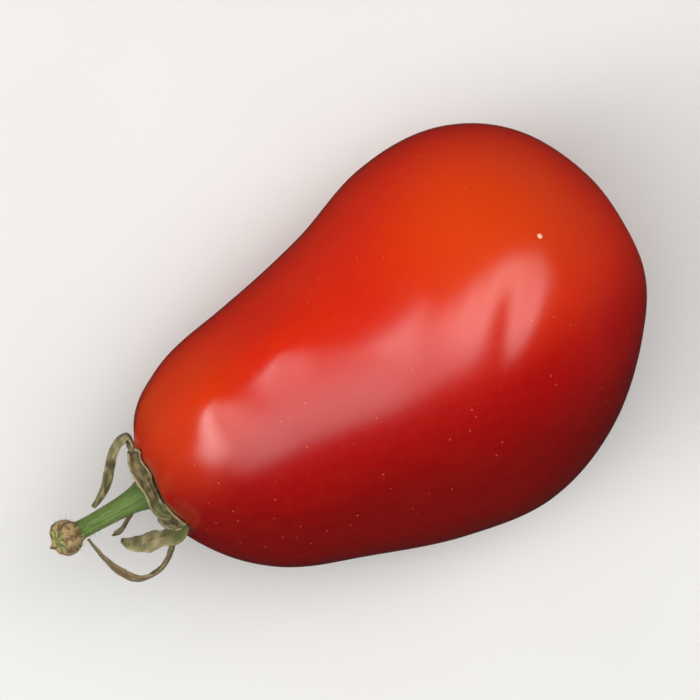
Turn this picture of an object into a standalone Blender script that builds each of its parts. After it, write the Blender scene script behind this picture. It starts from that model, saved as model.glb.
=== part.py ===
"""A ripe plum tomato lying on its side, with its dried calyx and a stub of green stalk.

The fruit's length runs along X, stem end towards -X and blossom end towards +X. +Z is up.
The origin is the middle of the small flat spot that the fruit rests on, under its weight.
Lengths are in metres, and MM turns millimetres into them.
"""

import math

import bmesh
import bpy
from mathutils import Matrix, Vector
from mathutils.bvhtree import BVHTree

MM = 0.001

# Driving dimensions of the fruit
FRUIT_LENGTH = 90.3 * MM
STEM_END_X = -49.2 * MM
REST_Y = 0.5 * MM
FLAT_SPOT_SINK = 0.35 * MM
GIRTH_SEGMENTS = 60
LENGTH_SEGMENTS = 44
ENDS_FINER = 0.45

# Share of the fruit's length at which it rests
REST_SHARE = -STEM_END_X / FRUIT_LENGTH

# Stations along the fruit, as (share of the length from the stem end, value in mm).
# A half width is the fullness times the height of the half circle at that share.
FULLNESS_ACROSS = (
    (0, 27.0), (0.04, 29.2), (0.12, 28.3), (0.28, 26.3), (0.46, 28.3), (0.62, 32.5), (0.8, 35.0), (1, 35.6),
)
FULLNESS_UPRIGHT = (
    (0, 26.5), (0.04, 28.4), (0.12, 27.9), (0.28, 26.0), (0.46, 27.4), (0.62, 30.8), (0.8, 33.2), (1, 34.0),
)
SIDEWAYS_SHIFT = (
    (0, 2.6), (0.04, 2.2), (0.12, 0.9), (0.28, -0.5), (0.46, -1.6), (0.62, -0.4), (0.8, 2.1), (0.92, 3.2), (1, 1.7),
)
AXIS_HEIGHT = (
    (0, 25.1), (0.12, 26.2), (0.28, 26.4), (0.46, 27.9), (0.62, 30.4), (0.8, 31.0), (0.92, 29.8), (1, 27.8),
)

# Shallow lobes: (how many round the girth, height as a share of the radius, direction of one crest in degrees,
# share of the length where they are strongest, how far they spread along it)
LOBES = (
    (2, 0.010, 100, 0.50, 0.40),
    (3, 0.012, 64, 0.30, 0.22),
    (5, 0.007, 96, 0.80, 0.14),
)

# Two soft swells on the neck, where lobes run out, and a furrow where the flesh shrank:
# (x, y, heading in degrees, half length, half width, height) in mm
SWELLS = (
    (-19.5, 12.3, 0, 7.0, 5.5, 2.1),
    (-33.8, 11.2, 0, 6.0, 5.5, 1.9),
    (14.7, -4.0, 54, 7.0, 3.6, -0.55),
)

# Stem end and blossom end
STEM_DIMPLE_DEPTH = 2.6 * MM
STEM_DIMPLE_RADIUS = 6.2 * MM
STEM_FOLDS = 5
STEM_FOLD_HEIGHT = 0.3 * MM
STEM_FOLD_RADIUS = 8.0 * MM
STEM_FOLD_SPREAD = 3.0 * MM
BLOSSOM_DIMPLE_DEPTH = 0.9 * MM
BLOSSOM_DIMPLE_RADIUS = 5.0 * MM
SCAR_HEIGHT = 0.5 * MM
SCAR_RADIUS = 1.3 * MM

# Calyx and stalk, measured from the seat, which is the bottom of the stem dimple
GAP = 0.3 * MM
RING_HOLE_RADIUS = 2.5 * MM
RING_OUTER_RADIUS = 4.4 * MM
RING_THICKNESS = 1.3 * MM
RING_SEGMENTS = 30
SEPAL_THICKNESS = 0.6 * MM
SEPAL_STEPS = 4
SEPAL_CELLS_ACROSS = 6
EDGE_WAVE = 0.3 * MM
EDGE_WAVE_COUNT = 2.6
STALK_SEGMENTS = 20
STALK_STEPS = 8

# Sepals: (name, direction of the root round the stalk in degrees from +Y, how far out it starts in mm,
# which way it faces there, full width in mm along its length, roll of the edges in degrees, twist in degrees
# along its length, route in mm). Width and twist are lists of (share of the length, value).
# A route's points are (towards the blossom end, +Y, +Z) from the seat. Both low ones are one sepal, folded back.
SEPALS = (
    (
        "folded_high", 14, 3.2, (-1, 0, 0),
        ((0, 3.0), (0.25, 3.7), (0.5, 2.9), (0.75, 2.1), (1, 1.1)), 105,
        ((0, 0), (0.25, 10), (0.42, -20), (0.6, -58), (1, -62)),
        (
            (-1.0, 5.0, 1.2), (-0.7, 7.6, 1.8), (-0.6, 9.8, 2.2), (-2.3, 10.0, 2.1), (-4.3, 8.7, 1.8),
            (-6.2, 6.6, 1.3), (-8.1, 4.6, 0.6), (-10.0, 3.3, -0.3), (-11.5, 2.6, -1.2),
        ),
    ),
    (
        "collar", 170, 4.6, (-1, 0, 0),
        ((0, 1.6), (0.2, 2.6), (0.5, 2.2), (0.8, 2.6), (1, 1.2)), 25,
        ((0, 0), (1, 0)),
        (
            (-1.2, -4.2, 2.6), (-1.4, -3.4, 3.9), (-1.7, -1.4, 4.4), (-1.7, 0.8, 4.5), (-1.5, 2.8, 4.3),
            (-1.0, 4.4, 3.6),
        ),
    ),
    (
        "upright", 137, 7.9, (-1, 0, 0),
        ((0, 1.2), (0.2, 2.2), (0.5, 2.9), (0.72, 5.0), (0.88, 5.0), (1, 2.0)), 95,
        ((0, 100), (0.3, 112), (0.65, 112), (1, 100)),
        (
            (-2.1, -4.7, 5.4), (-2.5, -3.0, 5.5), (-2.3, -0.6, 5.6), (-2.2, 1.8, 5.7), (-1.9, 4.0, 5.9),
            (-1.5, 5.8, 6.5), (-1.5, 6.9, 7.7),
        ),
    ),
    (
        "low_cup", 150, 3.2, (-1, 0, 0),
        ((0, 3.0), (0.3, 3.8), (0.7, 4.0), (0.9, 3.4), (1, 1.6)), 80,
        ((0, 0), (0.4, -60), (0.7, -85), (1, -95)),
        (
            (-1.7, -4.0, 3.8), (-1.5, -5.4, 4.8), (-0.9, -6.8, 5.5), (-0.3, -8.0, 6.1), (0.1, -8.7, 7.0),
        ),
    ),
    (
        "low_tongue", 142, 9.9, (0, 0, -1),
        ((0, 1.4), (0.12, 2.8), (0.3, 4.4), (0.55, 4.7), (0.8, 4.0), (1, 1.6)), 85,
        ((0, 0), (0.15, -25), (0.35, -50), (1, -45)),
        (
            (-0.5, -8.2, 6.5), (-1.6, -8.3, 7.0), (-3.2, -7.9, 7.3), (-5.2, -7.3, 7.1), (-7.2, -6.6, 6.7),
            (-8.8, -5.8, 6.3), (-9.9, -4.9, 6.0),
        ),
    ),
    (
        "looped", 212, 3.2, (-1, 0, 0),
        ((0, 2.6), (0.3, 3.6), (0.6, 3.4), (0.85, 2.2), (1, 0.9)), 60,
        ((0, 0), (0.4, 0), (0.6, 25), (1, 10)),
        (
            (-1.0, -4.9, -2.4), (-1.6, -7.4, -3.0), (-3.6, -9.9, -3.6), (-6.2, -11.6, -4.0), (-8.9, -12.0, -4.2),
            (-11.4, -11.3, -4.2), (-13.2, -9.1, -4.0), (-14.2, -6.1, -3.6), (-14.6, -3.6, -3.0), (-14.9, -1.6, -2.4),
        ),
    ),
    (
        "under", 282, 3.2, (-1, 0, 0),
        ((0, 3.2), (0.3, 4.6), (0.6, 3.6), (1, 1.0)), 75,
        ((0, 0), (0.5, 70), (1, 70)),
        (
            (-1.0, 1.0, -5.2), (-1.1, 1.5, -7.7), (-2.2, 1.2, -9.8), (-4.6, 0.2, -10.3), (-7.2, -1.4, -9.0),
            (-9.4, -2.8, -6.9), (-10.8, -2.8, -4.9),
        ),
    ),
)

# The stalk's route from the seat in mm, and its girth as (distance along it, radius), both in mm
STALK_ROUTE = ((-0.3, 0, 0), (-5.0, 0, 0.1), (-10.0, 0, 0.7), (-15.0, 0, 2.1), (-20.0, 0.1, 4.5))
STALK_GIRTH = (
    (0, 1.9), (0.25, 2.2), (1.6, 2.2), (1.8, 2.7), (2.4, 2.85), (3.3, 2.55), (4.8, 2.1), (7.0, 1.8), (10.0, 1.64),
    (12.6, 1.56), (15.0, 1.6), (15.9, 1.95), (16.5, 2.5), (17.3, 2.8), (18.3, 2.85), (19.1, 2.7), (19.6, 2.3),
    (19.4, 1.5), (19.6, 0.8),
)
KNUCKLE_START = 15.9
KNUCKLE_RIDGES = 6
KNUCKLE_RIDGE_SHARE = 0.05
STALK_RIBS = 5
STALK_RIB_SHARE = 0.03
SPUR_LENGTH = 1.1 * MM
SPUR_DIRECTION = 265
SPUR_PULL = {-4: 0.4, -3: 1, -2: 0.4}


def between(stations, share):
    """Value of a station list at this share, on a smooth curve through the stations."""
    last = len(stations) - 1
    i = next(k for k in range(last) if share <= stations[k + 1][0] or k == last - 1)
    (s0, v0), (s1, v1) = stations[i], stations[i + 1]
    before = stations[max(i - 1, 0)]
    after = stations[min(i + 2, last)]
    slope0 = (v1 - before[1]) / (s1 - before[0])
    slope1 = (after[1] - v0) / (after[0] - s0)
    span = s1 - s0
    t = (share - s0) / span
    return (
        v0 * (2 * t**3 - 3 * t**2 + 1)
        + slope0 * span * (t**3 - 2 * t**2 + t)
        + v1 * (3 * t**2 - 2 * t**3)
        + slope1 * span * (t**3 - t**2)
    )


def bump(distance, spread):
    """Bell shape: 1 at no distance, falling to almost nothing at twice the spread."""
    return math.exp(-((distance / spread) ** 2))


def lobe_factor(share, around):
    """How much the lobes swell the radius at this share of the length and angle round it."""
    factor = 1.0
    for count, height, crest_deg, peak, spread in LOBES:
        factor += height * bump(share - peak, spread) * math.cos(count * (around - math.radians(crest_deg)))
    return factor


def swell_height(at_x, at_y):
    """How high the swells stand, or the furrow lies, at a place on the upper half."""
    height = 0
    for x, y, heading, half_length, half_width, high in SWELLS:
        away = Vector((at_x - x * MM, at_y - y * MM)) @ Matrix.Rotation(math.radians(heading), 2)
        height += high * MM * bump(away.x, half_length * MM) * bump(away.y, half_width * MM)
    return height


def skin_point(polar, around):
    """Point of the skin. polar runs from 0 at the stem end to pi at the blossom end, around starts at +Y."""
    share = (1 - math.cos(polar)) / 2
    girth = math.sin(polar) * lobe_factor(share, around) * MM
    y = between(FULLNESS_ACROSS, share) * girth * math.cos(around)
    z = between(FULLNESS_UPRIGHT, share) * girth * math.sin(around)
    from_axis = math.hypot(y, z)
    x = STEM_END_X + FRUIT_LENGTH * share
    if share < 0.5:
        x += STEM_DIMPLE_DEPTH * math.exp(-((from_axis / STEM_DIMPLE_RADIUS) ** 4))
        fold = bump(from_axis - STEM_FOLD_RADIUS, STEM_FOLD_SPREAD)
        x += STEM_FOLD_HEIGHT * fold * math.cos(STEM_FOLDS * around)
    else:
        x -= BLOSSOM_DIMPLE_DEPTH * bump(from_axis, BLOSSOM_DIMPLE_RADIUS)
        x += SCAR_HEIGHT * bump(from_axis, SCAR_RADIUS)
    shift = between(SIDEWAYS_SHIFT, share) - between(SIDEWAYS_SHIFT, REST_SHARE)
    y += shift * MM - REST_Y
    z += between(AXIS_HEIGHT, share) * MM - FLAT_SPOT_SINK
    return Vector((x, y, z + swell_height(x, y) * min(1, max(0, math.sin(around)) / 0.4)))


def material(name, colour, roughness):
    """Principled material of one natural tissue, none of them metallic."""
    made = bpy.data.materials.new(name)
    made.use_nodes = True
    shader = made.node_tree.nodes["Principled BSDF"]
    shader.inputs["Base Color"].default_value = (*colour, 1)
    shader.inputs["Roughness"].default_value = roughness
    shader.inputs["Metallic"].default_value = 0
    made.diffuse_color = (*colour, 1)
    return made


def object_from(name, bm, finish):
    """Object made from a bmesh, shaded smooth."""
    bmesh.ops.recalc_face_normals(bm, faces=bm.faces)
    mesh = bpy.data.meshes.new(name)
    bm.to_mesh(mesh)
    bm.free()
    mesh.shade_smooth()
    mesh.set_sharp_from_angle(angle=math.radians(50))
    mesh.materials.append(finish)
    made = bpy.data.objects.new(name, mesh)
    bpy.context.scene.collection.objects.link(made)
    return made


def make_fruit(finish):
    """The whole berry: a sphere whose points are moved to the skin, cut flat where it rests."""
    bm = bmesh.new()
    bmesh.ops.create_uvsphere(bm, u_segments=GIRTH_SEGMENTS, v_segments=LENGTH_SEGMENTS, radius=1)
    for vert in bm.verts:
        even = math.acos(max(-1, min(1, -vert.co.z)))
        polar = even - ENDS_FINER * math.sin(2 * even) / 2
        vert.co = skin_point(polar, math.atan2(vert.co.y, vert.co.x))
    bmesh.ops.triangulate(bm, faces=bm.faces)
    cut = bmesh.ops.bisect_plane(
        bm,
        geom=bm.verts[:] + bm.edges[:] + bm.faces[:],
        plane_co=(0, 0, 0),
        plane_no=(0, 0, -1),
        clear_outer=True,
    )
    rim = [edge for edge in cut["geom_cut"] if isinstance(edge, bmesh.types.BMEdge)]
    bmesh.ops.contextual_create(bm, geom=rim)
    return object_from("fruit", bm, finish)


def smooth_path(points, steps):
    """Points on a smooth curve through the given ones, with this many steps between each pair."""
    ends = [2 * points[0] - points[1], *points, 2 * points[-1] - points[-2]]
    path = []
    for a, b, c, d in zip(ends, ends[1:], ends[2:], ends[3:]):
        for k in range(steps):
            t = k / steps
            curve = 2 * b + (c - a) * t + (2 * a - 5 * b + 4 * c - d) * t**2 + (3 * b - 3 * c + d - a) * t**3
            path.append(curve / 2)
    path.append(points[-1].copy())
    return path


def frames_along(path, facing):
    """Frame at each point of a path, (along, across, facing), turned as little as the path allows."""
    frames = []
    for i in range(len(path)):
        along = (path[min(i + 1, len(path) - 1)] - path[max(i - 1, 0)]).normalized()
        across = along.cross(facing).normalized()
        facing = across.cross(along).normalized()
        frames.append((along, across, facing))
    return frames


def clear_of_skin(point, skin):
    """The point, drawn back towards the stalk where a blade there would touch the fruit."""
    hit, normal, _, _ = skin.ray_cast(Vector((STEM_END_X * 2, point.y, point.z)), Vector((1, 0, 0)))
    if hit is None:
        return point
    room = (GAP + SEPAL_THICKNESS / 2) / max(abs(normal.x), 0.35)
    return Vector((min(point.x, hit.x - room), point.y, point.z))


def make_sepal(root_deg, root_radius_mm, facing, widths, roll_deg, twists, route, seat, skin):
    """One dried blade without its thickness: a grid laid along the route, with rolled and wavy edges."""
    root = math.radians(root_deg)
    outwards = Vector((0, math.cos(root), math.sin(root)))
    start = seat + outwards * root_radius_mm * MM - Vector((GAP + RING_THICKNESS * 0.5, 0, 0))
    path = smooth_path([start] + [seat + Vector(point) * MM for point in route], SEPAL_STEPS)
    frames = frames_along(path, Vector(facing))
    bm = bmesh.new()
    bmesh.ops.create_grid(bm, x_segments=SEPAL_CELLS_ACROSS, y_segments=len(path) - 1, size=1)
    for vert in bm.verts:
        lateral = vert.co.x
        share = (vert.co.y + 1) / 2
        station = round(share * (len(path) - 1))
        along, across, facing = frames[station]
        turn = Matrix.Rotation(math.radians(between(twists, share)), 3, along)
        half = between(widths, share) * MM / 2
        roll = math.radians(roll_deg) * (0.3 + 0.7 * share)
        side = math.sin(roll * lateral) / roll * half
        lift = (1 - math.cos(roll * lateral)) / roll * half
        wave = math.sin(2 * math.pi * EDGE_WAVE_COUNT * share + root + lateral)
        lift += EDGE_WAVE * wave * lateral**2 * math.sin(math.pi * share)
        vert.co = clear_of_skin(path[station] + turn @ (across * side + facing * lift), skin)
    bmesh.ops.triangulate(bm, faces=bm.faces)
    return bm


def make_ring(seat):
    """The ring that the sepals grow from, with a plain hole for the stalk's foot."""
    near, far = -GAP, -GAP - RING_THICKNESS
    profile = (
        (near, RING_HOLE_RADIUS),
        (far, RING_HOLE_RADIUS),
        (far, RING_HOLE_RADIUS + 0.8 * MM),
        (near - RING_THICKNESS * 0.75, RING_OUTER_RADIUS - 0.3 * MM),
        (near - RING_THICKNESS * 0.4, RING_OUTER_RADIUS),
        (near, RING_OUTER_RADIUS - 0.4 * MM),
    )
    bm = bmesh.new()
    corners = [bm.verts.new(seat + Vector((along, radius, 0))) for along, radius in profile]
    edges = [bm.edges.new(pair) for pair in zip(corners, corners[1:] + corners[:1])]
    bmesh.ops.spin(
        bm, geom=corners + edges, cent=seat, axis=(1, 0, 0), angle=2 * math.pi, steps=RING_SEGMENTS, use_merge=True
    )
    bmesh.ops.remove_doubles(bm, verts=bm.verts, dist=0.01 * MM)
    return bm


def fill_pockets(mesh):
    """Keeps the outer skin of a body and drops the skin of any pocket sealed inside it, which fills the pocket."""
    bm = bmesh.new()
    bm.from_mesh(mesh)
    left = set(bm.verts)
    islands = []
    while left:
        island = set()
        found = {left.pop()}
        while found:
            vert = found.pop()
            island.add(vert)
            near = {edge.other_vert(vert) for edge in vert.link_edges} & left
            left -= near
            found |= near
        islands.append(island)
    outer = max(islands, key=len)
    bmesh.ops.delete(bm, geom=[vert for vert in bm.verts if vert not in outer], context="VERTS")
    bm.to_mesh(mesh)
    bm.free()


def make_calyx(seat, skin, finish):
    """The ring, the collar where the sepals join, and the five sepals, grown together into one body."""
    calyx = object_from("calyx", make_ring(seat), finish)
    blades = bpy.data.collections.new("sepals")
    bpy.context.scene.collection.children.link(blades)
    for name, *shape in SEPALS:
        blade = object_from("sepal_" + name, make_sepal(*shape, seat, skin), finish)
        bpy.context.scene.collection.objects.unlink(blade)
        blades.objects.link(blade)
        shell = blade.modifiers.new("thickness", "SOLIDIFY")
        shell.thickness = SEPAL_THICKNESS
        shell.offset = 0
    union = calyx.modifiers.new("grown together", "BOOLEAN")
    union.operation = "UNION"
    union.operand_type = "COLLECTION"
    union.collection = blades
    union.solver = "MANIFOLD"
    graph = bpy.context.evaluated_depsgraph_get()
    grown = bpy.data.meshes.new_from_object(calyx.evaluated_get(graph))
    calyx.modifiers.clear()
    fill_pockets(grown)
    calyx.data = grown
    for blade in list(blades.objects):
        bpy.data.objects.remove(blade)
    bpy.data.collections.remove(blades)
    return calyx


def stalk_radius(row, around):
    """Radius of the stalk at a row of its girth list and an angle round it, with its faint ribs and ridges."""
    distance, radius = STALK_GIRTH[row]
    ribs = STALK_RIB_SHARE * math.cos(STALK_RIBS * around)
    if distance >= KNUCKLE_START:
        ribs = KNUCKLE_RIDGE_SHARE * math.cos(KNUCKLE_RIDGES * around)
    if distance <= RING_THICKNESS / MM + GAP / MM:
        ribs = 0
    return radius * MM * (1 + ribs)


def place_on(path, walked):
    """(station before, share of the way to the next one) of a distance along a path."""
    for i, (a, b) in enumerate(zip(path, path[1:])):
        step = (b - a).length
        if walked <= step or i == len(path) - 2:
            return i, walked / step
        walked -= step


def make_pedicel(seat, finish):
    """The stub of stalk: a flared foot, a bent stalk, and the swollen knuckle with the spur where it broke."""
    path = smooth_path([seat + Vector(point) * MM for point in STALK_ROUTE], STALK_STEPS)
    frames = frames_along(path, Vector((0, 0, 1)))
    rows = len(STALK_GIRTH)
    bm = bmesh.new()
    bmesh.ops.create_uvsphere(bm, u_segments=STALK_SEGMENTS, v_segments=rows + 1, radius=1)
    for vert in bm.verts:
        row = round(math.acos(max(-1, min(1, vert.co.z))) / math.pi * (rows + 1)) - 1
        pole = row < 0 or row == rows
        row = max(0, min(rows - 1, row))
        around = math.atan2(vert.co.y, vert.co.x)
        radius = 0 if pole else stalk_radius(row, around)
        i, share = place_on(path, STALK_GIRTH[row][0] * MM)
        along, across, facing = frames[i]
        centre = path[i].lerp(path[i + 1], share)
        if not pole and abs(around - math.radians(SPUR_DIRECTION - 360)) < math.pi / STALK_SEGMENTS:
            centre = centre + along * SPUR_LENGTH * SPUR_PULL.get(row - rows, 0)
        vert.co = centre + (across * math.cos(around) + facing * math.sin(around)) * radius
    bmesh.ops.triangulate(bm, faces=bm.faces)
    return object_from("pedicel", bm, finish)


def skin_of(fruit):
    """Search tree of the fruit's surface."""
    mesh = fruit.data
    return BVHTree.FromPolygons([vert.co for vert in mesh.vertices], [face.vertices[:] for face in mesh.polygons])


def main():
    """Builds the three pieces."""
    for old in list(bpy.data.objects):
        bpy.data.objects.remove(old)
    fruit = make_fruit(material("ripe tomato skin", (0.55, 0.02, 0.004), 0.3))
    seat = skin_point(0, 0)
    make_calyx(seat, skin_of(fruit), material("dried sepal", (0.22, 0.21, 0.10), 0.8))
    make_pedicel(seat, material("green stalk", (0.13, 0.22, 0.05), 0.6))


if __name__ == "__main__":
    main()
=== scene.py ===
"""A ripe plum tomato lying on its side, with its dried calyx and a stub of green stalk.

The fruit's length runs along X, stem end towards -X and blossom end towards +X. +Z is up.
The origin is the middle of the small flat spot that the fruit rests on, under its weight.
Lengths are in metres, and MM turns millimetres into them.
"""

import logging
import math
import random
from collections.abc import Callable, Sequence
from dataclasses import dataclass
from enum import Enum

import bmesh
import bpy
from bmesh.types import BMEdge, BMesh, BMFace, BMLayerItem, BMVert
from bpy.types import Material, Node, NodeSocket, NodeTree, Object
from mathutils import Matrix, Vector, noise
from mathutils.bvhtree import BVHTree


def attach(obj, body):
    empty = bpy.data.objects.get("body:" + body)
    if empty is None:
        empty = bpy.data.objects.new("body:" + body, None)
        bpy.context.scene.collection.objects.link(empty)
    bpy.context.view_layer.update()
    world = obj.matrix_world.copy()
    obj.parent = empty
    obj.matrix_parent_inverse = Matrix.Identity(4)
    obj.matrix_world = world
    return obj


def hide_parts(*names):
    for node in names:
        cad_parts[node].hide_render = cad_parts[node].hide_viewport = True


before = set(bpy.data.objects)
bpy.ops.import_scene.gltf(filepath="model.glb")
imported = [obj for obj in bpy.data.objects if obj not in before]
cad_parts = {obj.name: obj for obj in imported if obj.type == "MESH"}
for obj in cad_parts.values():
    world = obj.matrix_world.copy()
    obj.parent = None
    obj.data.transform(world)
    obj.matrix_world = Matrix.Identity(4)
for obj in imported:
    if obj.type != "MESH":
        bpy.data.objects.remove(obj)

MM = 0.001
# How far the vein wave turns from a sepal's midrib to its edge, in radians, for its shape and its colour
VEIN_TURN = 8.6
LOG = logging.getLogger("tomato")

# Shorter names for types: a (share, value) pair, two numbers, a point, a frame's three directions,
# a hair's place and direction, rows of numbers, and a node's inputs
Station = tuple[float, float]
Pair = tuple[float, float]
Point = tuple[float, float, float]
Axes = tuple[Vector, Vector, Vector]
Root = tuple[Vector, Vector]
Rows = tuple[tuple[float, ...], ...]
Inputs = dict[int | str, object]


class Slot(Enum):
    """Material slots of the record."""

    SKIN = "skin"
    SEPAL = "sepal"
    STALK = "stalk"


class Face(Enum):
    """Which face of a sepal a material is for, as the number of its slot on the piece."""

    HOLLOW = 0
    BACK = 1


# Shared shape helpers


def between(stations: Sequence[Station], share: float) -> float:
    """Reads a list of stations on a smooth curve through them.

    Args:
        stations: (share, value) pairs in rising order of share.
        share: Where to read the curve.

    Returns:
        The value there.
    """
    last = len(stations) - 1
    i = next(k for k in range(last) if share <= stations[k + 1][0] or k == last - 1)
    (s0, v0), (s1, v1) = stations[i], stations[i + 1]
    before = stations[max(i - 1, 0)]
    after = stations[min(i + 2, last)]
    slope0 = (v1 - before[1]) / (s1 - before[0])
    slope1 = (after[1] - v0) / (after[0] - s0)
    span = s1 - s0
    t = (share - s0) / span
    return (
        v0 * (2 * t**3 - 3 * t**2 + 1)
        + slope0 * span * (t**3 - 2 * t**2 + t)
        + v1 * (3 * t**2 - 2 * t**3)
        + slope1 * span * (t**3 - t**2)
    )


def bump(distance: float, spread: float) -> float:
    """Bell shape: 1 at no distance, falling to almost nothing at twice the spread."""
    return math.exp(-((distance / spread) ** 2))


def smooth_path(points: Sequence[Vector], steps: int) -> list[Vector]:
    """Draws a smooth curve through points.

    Args:
        points: The points that it passes through.
        steps: How many steps it takes between each pair.

    Returns:
        The points of the curve, ends included.
    """
    ends = [2 * points[0] - points[1], *points, 2 * points[-1] - points[-2]]
    path = []
    for a, b, c, d in zip(ends, ends[1:], ends[2:], ends[3:]):
        for k in range(steps):
            t = k / steps
            bend = 2 * a - 5 * b + 4 * c - d
            turn = 3 * b - 3 * c + d - a
            path.append((2 * b + (c - a) * t + bend * t**2 + turn * t**3) / 2)
    path.append(points[-1].copy())
    return path


def frames_along(path: Sequence[Vector], facing: Vector) -> list[Axes]:
    """Sets a frame at each point of a path, turned as little as the path allows.

    Args:
        path: The points of the path.
        facing: Which way the first frame faces.

    Returns:
        (along, across, facing) at each point.
    """
    frames = []
    for i in range(len(path)):
        along = (path[min(i + 1, len(path) - 1)] - path[max(i - 1, 0)]).normalized()
        across = along.cross(facing).normalized()
        facing = across.cross(along).normalized()
        frames.append((along, across, facing))
    return frames


def grain(point: Vector, size: float, seed: float = 0.0) -> float:
    """Smooth noise from about -1 to 1, with lumps of this size, at a point in metres."""
    return noise.noise(point / size + Vector((seed, -seed, seed * 0.5)))


def layers_on(bm: BMesh, *names: str) -> list[BMLayerItem]:
    """Adds layers of plain numbers to a mesh's points, which its material reads."""
    return [bm.verts.layers.float.new(name) for name in names]


def settle(bm: BMesh) -> None:
    """Sorts a shape's edges and faces, which come in another order each run, by their points."""
    bm.verts.index_update()
    count = len(bm.verts)

    def rank(part: BMEdge | BMFace) -> int:
        """One number from the first, second and last of the points."""
        numbers = sorted(vert.index for vert in part.verts)
        return (numbers[0] * count + numbers[1]) * count + numbers[-1]

    for parts in (bm.edges, bm.faces):
        parts.sort(key=rank)
        parts.index_update()


def piece_from(name: str, bm: BMesh, *finishes: Material) -> Object:
    """Turns a bmesh into an object at the origin, shaded smooth.

    Args:
        name: The piece's name.
        bm: Its shape, which is used up.
        finishes: Its materials, in the order of its slots.

    Returns:
        The new object.
    """
    mesh = bpy.data.meshes.new(name)
    bm.to_mesh(mesh)
    bm.free()
    mesh.shade_smooth()
    for finish in finishes:
        mesh.materials.append(finish)
    made = bpy.data.objects.new(name, mesh)
    bpy.context.scene.collection.objects.link(made)
    return made


def dress(piece: Object, node: str) -> Object:
    """Lets a piece ride on the part and stand for a CAD node.

    Args:
        piece: The piece, finished and in place.
        node: The CAD node that it stands for.

    Returns:
        The piece.
    """
    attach(piece, "root")
    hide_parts(node)
    return piece


# Shared material helpers


def linear(hex_colour: str) -> tuple[float, float, float, float]:
    """Turns an sRGB hex colour into linear RGBA."""
    parts = [int(hex_colour[i : i + 2], 16) / 255 for i in (1, 3, 5)]
    red, green, blue = (v / 12.92 if v <= 0.04045 else ((v + 0.055) / 1.055) ** 2.4 for v in parts)
    return red, green, blue, 1.0


def add_node(tree: NodeTree, kind: str, inputs: Inputs | None = None, **settings: object) -> Node:
    """Adds a shader node with its settings and links.

    Args:
        tree: The material's node tree.
        kind: The node's type name, without its ShaderNode prefix.
        inputs: Values or sockets for its inputs, by name or number.
        settings: Its properties.

    Returns:
        The node.
    """
    node = tree.nodes.new("ShaderNode" + kind)
    for key, value in settings.items():
        setattr(node, key, value)
    for key, value in (inputs or {}).items():
        if isinstance(value, NodeSocket):
            tree.links.new(value, node.inputs[key])
        else:
            node.inputs[key].default_value = value
    return node


class Recipe:
    """A material's node tree while it is being mixed."""

    def __init__(self, name: str) -> None:
        """Starts a material.

        Args:
            name: What the real material is called.
        """
        self.material = bpy.data.materials.new(name)
        self.material.use_nodes = True
        self.tree = self.material.node_tree
        self.shader = self.tree.nodes["Principled BSDF"]
        self.place = add_node(self.tree, "TexCoord").outputs["Object"]

    def maths(self, operation: str, *values: float | NodeSocket) -> NodeSocket:
        """Works out one number from others.

        Args:
            operation: The sum's name, as the node calls it.
            values: Its inputs in order.

        Returns:
            The result's socket.
        """
        return add_node(self.tree, "Math", dict(enumerate(values)), operation=operation).outputs[0]

    def ramp(
        self, value: NodeSocket, low: float, high: float, start: float = 0, end: float = 1
    ) -> NodeSocket:
        """Eases the result from start to end while the value goes from low to high."""
        inputs = {"Value": value, "From Min": low, "From Max": high, "To Min": start, "To Max": end}
        return add_node(self.tree, "MapRange", inputs, interpolation_type="SMOOTHSTEP").outputs["Result"]

    def blend(self, factor: float | NodeSocket, first: object, second: object) -> NodeSocket:
        """Blends two colours.

        Args:
            factor: How much of the second.
            first: A colour or its socket.
            second: A colour or its socket.

        Returns:
            The blended colour's socket.
        """
        return add_node(self.tree, "Mix", {0: factor, 6: first, 7: second}, data_type="RGBA").outputs[2]

    def lumps(self, size: float, detail: float = 2.0, stretch: Sequence[float] = (1, 1, 1)) -> NodeSocket:
        """Noise from 0 to 1.

        Args:
            size: Size of one lump in metres.
            detail: How many finer layers it has.
            stretch: How many times longer the lumps are along each axis.

        Returns:
            The noise's socket.
        """
        scales = [1 / size / times for times in stretch]
        scaled = add_node(self.tree, "Mapping", {"Vector": self.place, "Scale": scales})
        inputs = {"Vector": scaled.outputs[0], "Scale": 1.0, "Detail": detail}
        return add_node(self.tree, "TexNoise", inputs).outputs["Fac"]

    def distance(self, centre: Vector) -> NodeSocket:
        """Distance from a point, in metres."""
        inputs = {0: self.place, 1: tuple(centre)}
        return add_node(self.tree, "VectorMath", inputs, operation="DISTANCE").outputs["Value"]

    def relief(self, height: NodeSocket, depth: float) -> NodeSocket:
        """Bump from a height of 0 to 1 that is this deep."""
        inputs = {"Height": height, "Distance": depth, "Strength": 1.0}
        return add_node(self.tree, "Bump", inputs).outputs["Normal"]

    def attribute(self, name: str) -> NodeSocket:
        """A number that the mesh carries."""
        return add_node(self.tree, "Attribute", attribute_name=name).outputs["Fac"]

    def finish(self, links: dict[str, NodeSocket], values: dict[str, object]) -> Material:
        """Puts the patterns and the fixed values on the shader.

        Args:
            links: Sockets for the shader's patterned inputs.
            values: Values for its plain inputs.

        Returns:
            The material.
        """
        for name, socket in links.items():
            self.tree.links.new(socket, self.shader.inputs[name])
        for name, value in values.items():
            self.shader.inputs[name].default_value = value
        return self.material


# Finishes


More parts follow.
